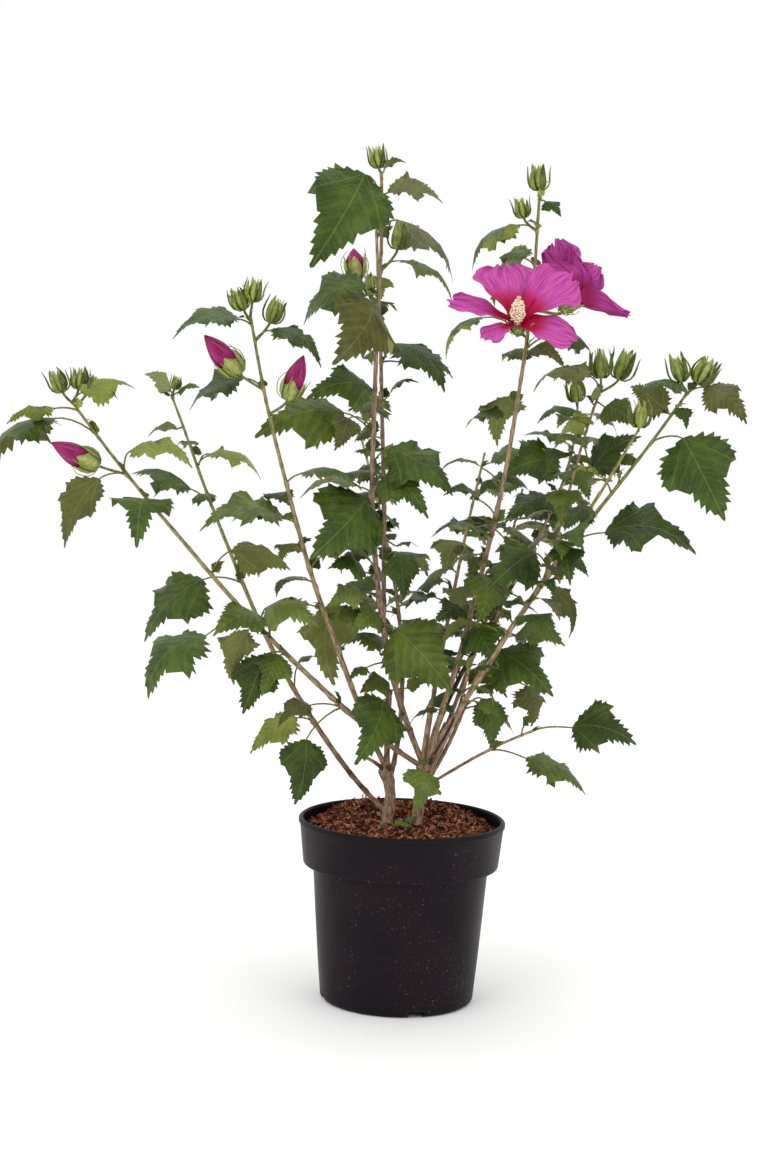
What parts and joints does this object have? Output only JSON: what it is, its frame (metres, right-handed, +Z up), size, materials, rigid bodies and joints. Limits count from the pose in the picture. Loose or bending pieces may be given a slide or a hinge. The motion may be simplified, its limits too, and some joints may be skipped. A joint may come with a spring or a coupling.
{
  "type": "hibiscus shrub in a pot",
  "caption": "Upright flowering garden shrub with woody stumps, arching leafy canes, buds and open blossom, standing in its round black nursery pot.",
  "frame": {"origin": "on the floor at the middle of the pot's flat underside", "axes": "+Z is up along the pot's axis, -Y is the side the shrub is seen from and +X is to the right of that view"},
  "size_m": [0.7984, 0.4221, 0.917],
  "materials": {
    "pot_plastic": "black blow-moulded polypropylene with a soft sheen, faint scratches and dust",
    "mix_bark": "moist coir and composted bark chips, matte",
    "stump_wood": "grey-brown bark with knots and pruning scars",
    "cane_wood": "smooth young bark, tan and pinkish grey below, olive green towards the tips",
    "foliage": "toothed green leaves with paler undersides, green and magenta buds and magenta blossom with a red eye"
  },
  "bodies": {
    "root": {"bough_back": "cane_wood", "bough_back_left": "cane_wood", "bough_back_right": "cane_wood", "bough_centre": "cane_wood", "bough_far_left_1": "cane_wood", "bough_far_left_2": "cane_wood", "bough_flower_1": "cane_wood", "bough_flower_2": "cane_wood", "bough_front": "cane_wood", "bough_inner_left_1": "cane_wood", "bough_inner_left_2": "cane_wood", "bough_left_1": "cane_wood", "bough_left_2": "cane_wood", "bough_low_right": "cane_wood", "bough_right_fork": "cane_wood", "bough_right_inner": "cane_wood", "bough_right_low": "cane_wood", "bough_right_outer_1": "cane_wood", "bough_right_outer_2": "cane_wood", "leaves_back": "foliage", "leaves_back_left": "foliage", "leaves_back_right": "foliage", "leaves_centre": "foliage", "leaves_far_left_1": "foliage", "leaves_far_left_2": "foliage", "leaves_flower_1": "foliage", "leaves_flower_2": "foliage", "leaves_foot": "foliage", "leaves_front": "foliage", "leaves_inner_left_1": "foliage", "leaves_inner_left_2": "foliage", "leaves_left_1": "foliage", "leaves_left_2": "foliage", "leaves_low_right": "foliage", "leaves_right_fork": "foliage", "leaves_right_inner": "foliage", "leaves_right_low": "foliage", "leaves_right_outer_1": "foliage", "leaves_right_outer_2": "foliage", "leaves_upright": "foliage", "pot": "pot_plastic", "potting_mix": "mix_bark", "stump_left": "stump_wood", "stump_right": "stump_wood"}
  },
  "joints": []
}
